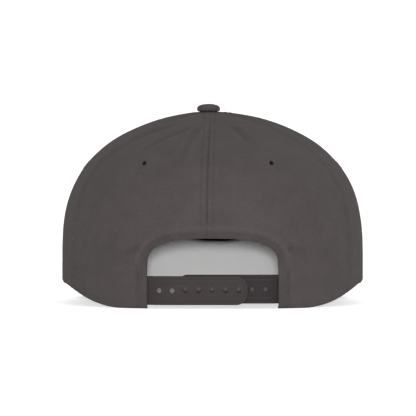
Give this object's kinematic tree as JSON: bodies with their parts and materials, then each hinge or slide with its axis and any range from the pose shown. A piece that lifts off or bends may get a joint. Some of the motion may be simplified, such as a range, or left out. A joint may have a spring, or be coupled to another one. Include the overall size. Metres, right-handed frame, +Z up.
{
  "type": "snapback cap",
  "caption": "Plain six panel snapback cap with a flat visor, top button, sewn eyelets, sweatband and a plastic snap closure.",
  "frame": {"origin": "on the ground, under the middle of the cap's box, as the cap stands by itself", "axes": "+Z up, +Y forward out of the visor, +X to the right of someone looking at the back of the cap"},
  "size_m": [0.1804, 0.2656, 0.1194],
  "materials": {
    "crown_cloth": "matte",
    "thread": "matte",
    "snap_plastic": "satin",
    "band_cloth": "matte"
  },
  "bodies": {
    "root": {"back_left_panel": "crown_cloth", "back_right_panel": "crown_cloth", "side_left_panel": "crown_cloth", "side_right_panel": "crown_cloth", "front_left_panel": "crown_cloth", "front_right_panel": "crown_cloth", "back_left_eyelet": "thread", "back_right_eyelet": "thread", "side_left_eyelet": "thread", "side_right_eyelet": "thread", "front_left_eyelet": "thread", "front_right_eyelet": "thread", "top_button": "crown_cloth", "sweatband": "band_cloth", "visor": "crown_cloth", "outer_strap": "snap_plastic", "inner_strap": "snap_plastic"}
  },
  "joints": []
}
